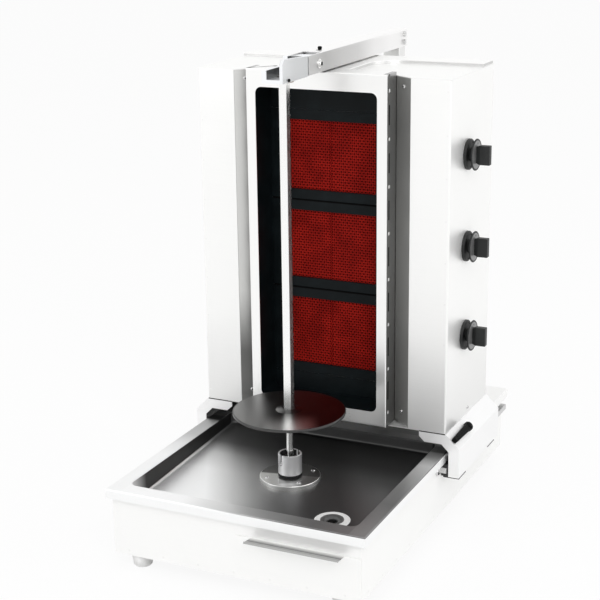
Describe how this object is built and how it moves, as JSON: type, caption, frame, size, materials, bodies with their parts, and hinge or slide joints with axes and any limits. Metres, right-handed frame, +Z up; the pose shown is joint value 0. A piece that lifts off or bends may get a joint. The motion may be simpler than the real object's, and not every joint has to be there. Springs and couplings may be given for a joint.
{
  "type": "gas doner kebab grill",
  "caption": "Upright gas grill with a motor-driven spit over a drip pan, a burner housing that slides back, and a grease drawer in the base.",
  "frame": {"origin": "on the floor, straight below the spit, on the spit's axis", "axes": "+Z up along the spit, +Y back towards the burners and the arm post, +X to the knobs' side"},
  "size_m": [0.5694, 0.798, 0.895],
  "materials": {
    "stainless": "satin",
    "bright_steel": "polished",
    "black_enamel": "gloss enamel",
    "ceramic": "matte, perforated",
    "rubber": "matte",
    "black_plastic": "semi-gloss",
    "cast_aluminium": "cast",
    "brass": "machined",
    "gas_pipe": "satin"
  },
  "bodies": {
    "base": {"base_shell": "stainless", "base_bottom": "stainless", "feet": "rubber", "drip_pan": "stainless", "drain_ring": "stainless", "drawer_runners": "stainless", "gear_motor": "cast_aluminium", "motor_bracket": "stainless", "bearing_flange": "bright_steel", "flange_screws": "bright_steel", "shaft_seal": "rubber", "slide_rail_right": "bright_steel", "slide_rail_left": "bright_steel", "arm_post": "stainless", "base_screws": "bright_steel", "arm_channel": "stainless", "pivot_bolt": "bright_steel", "latch_guide": "stainless"},
    "drive": {"drive_shaft": "bright_steel", "bayonet_coupling": "bright_steel"},
    "spit": {"spit_rod": "bright_steel", "cross_pin": "bright_steel", "spit_plate": "stainless", "plate_screw": "bright_steel"},
    "drawer": {"drawer_box": "stainless", "drawer_front": "stainless"},
    "head": {"spit_head": "stainless", "head_bush": "brass", "head_screw": "black_plastic"},
    "latch": {"head_latch": "bright_steel"},
    "carriage": {"housing_casing": "stainless", "housing_lid": "stainless", "rear_cover": "stainless", "housing_screws": "bright_steel", "burner_frame": "bright_steel", "burner_lining": "black_enamel", "wing_right": "bright_steel", "wing_left": "bright_steel", "burner_body_1": "black_enamel", "burner_body_2": "black_enamel", "burner_body_3": "black_enamel", "ceramic_plaques_1": "ceramic", "ceramic_plaques_2": "ceramic", "ceramic_plaques_3": "ceramic", "gas_manifold": "gas_pipe", "gas_valve_1": "brass", "gas_valve_2": "brass", "gas_valve_3": "brass", "knob_bezels": "black_plastic", "skirt_right": "stainless", "skirt_left": "stainless", "glide_shoes": "black_plastic"},
    "knob_low": {"knob_1": "black_plastic", "valve_stem_1": "brass"},
    "knob_middle": {"knob_2": "black_plastic", "valve_stem_2": "brass"},
    "knob_high": {"knob_3": "black_plastic", "valve_stem_3": "brass"},
    "lever": {"lock_lever": "black_plastic", "lock_stud": "bright_steel"}
  },
  "joints": [
    {"name": "spit_drive", "type": "hinge", "parent": "base", "child": "drive", "pos_m": [0, 0, 0.15], "axis": [0, 0, 1], "continuous": true},
    {"name": "spit_lift", "type": "slide", "parent": "drive", "child": "spit", "axis": [0, 0, 1], "range_m": [0, 0.045]},
    {"name": "drawer_slide", "type": "slide", "parent": "base", "child": "drawer", "axis": [0, -1, 0], "range_m": [0, 0.15]},
    {"name": "carriage_slide", "type": "slide", "parent": "base", "child": "carriage", "axis": [0, 1, 0], "range_m": [0, 0.1]},
    {"name": "head_hinge", "type": "hinge", "parent": "base", "child": "head", "pos_m": [0, 0.101, 0.871], "axis": [-1, 0, 0], "range_deg": [0, 70]},
    {"name": "latch_slide", "type": "slide", "parent": "base", "child": "latch", "axis": [0, 1, 0], "range_m": [-0.009, 0]},
    {"name": "knob_low_turn", "type": "hinge", "parent": "carriage", "child": "knob_low", "pos_m": [0.25, 0.246, 0.3555], "axis": [1, 0, 0], "range_deg": [0, 190]},
    {"name": "knob_middle_turn", "type": "hinge", "parent": "carriage", "child": "knob_middle", "pos_m": [0.25, 0.246, 0.5275], "axis": [1, 0, 0], "range_deg": [0, 190]},
    {"name": "knob_high_turn", "type": "hinge", "parent": "carriage", "child": "knob_high", "pos_m": [0.25, 0.246, 0.6995], "axis": [1, 0, 0], "range_deg": [0, 190]},
    {"name": "lever_turn", "type": "hinge", "parent": "carriage", "child": "lever", "pos_m": [0.26375, 0.226, 0.17575], "axis": [0.7071, 0, 0.7071], "range_deg": [0, 60]}
  ]
}
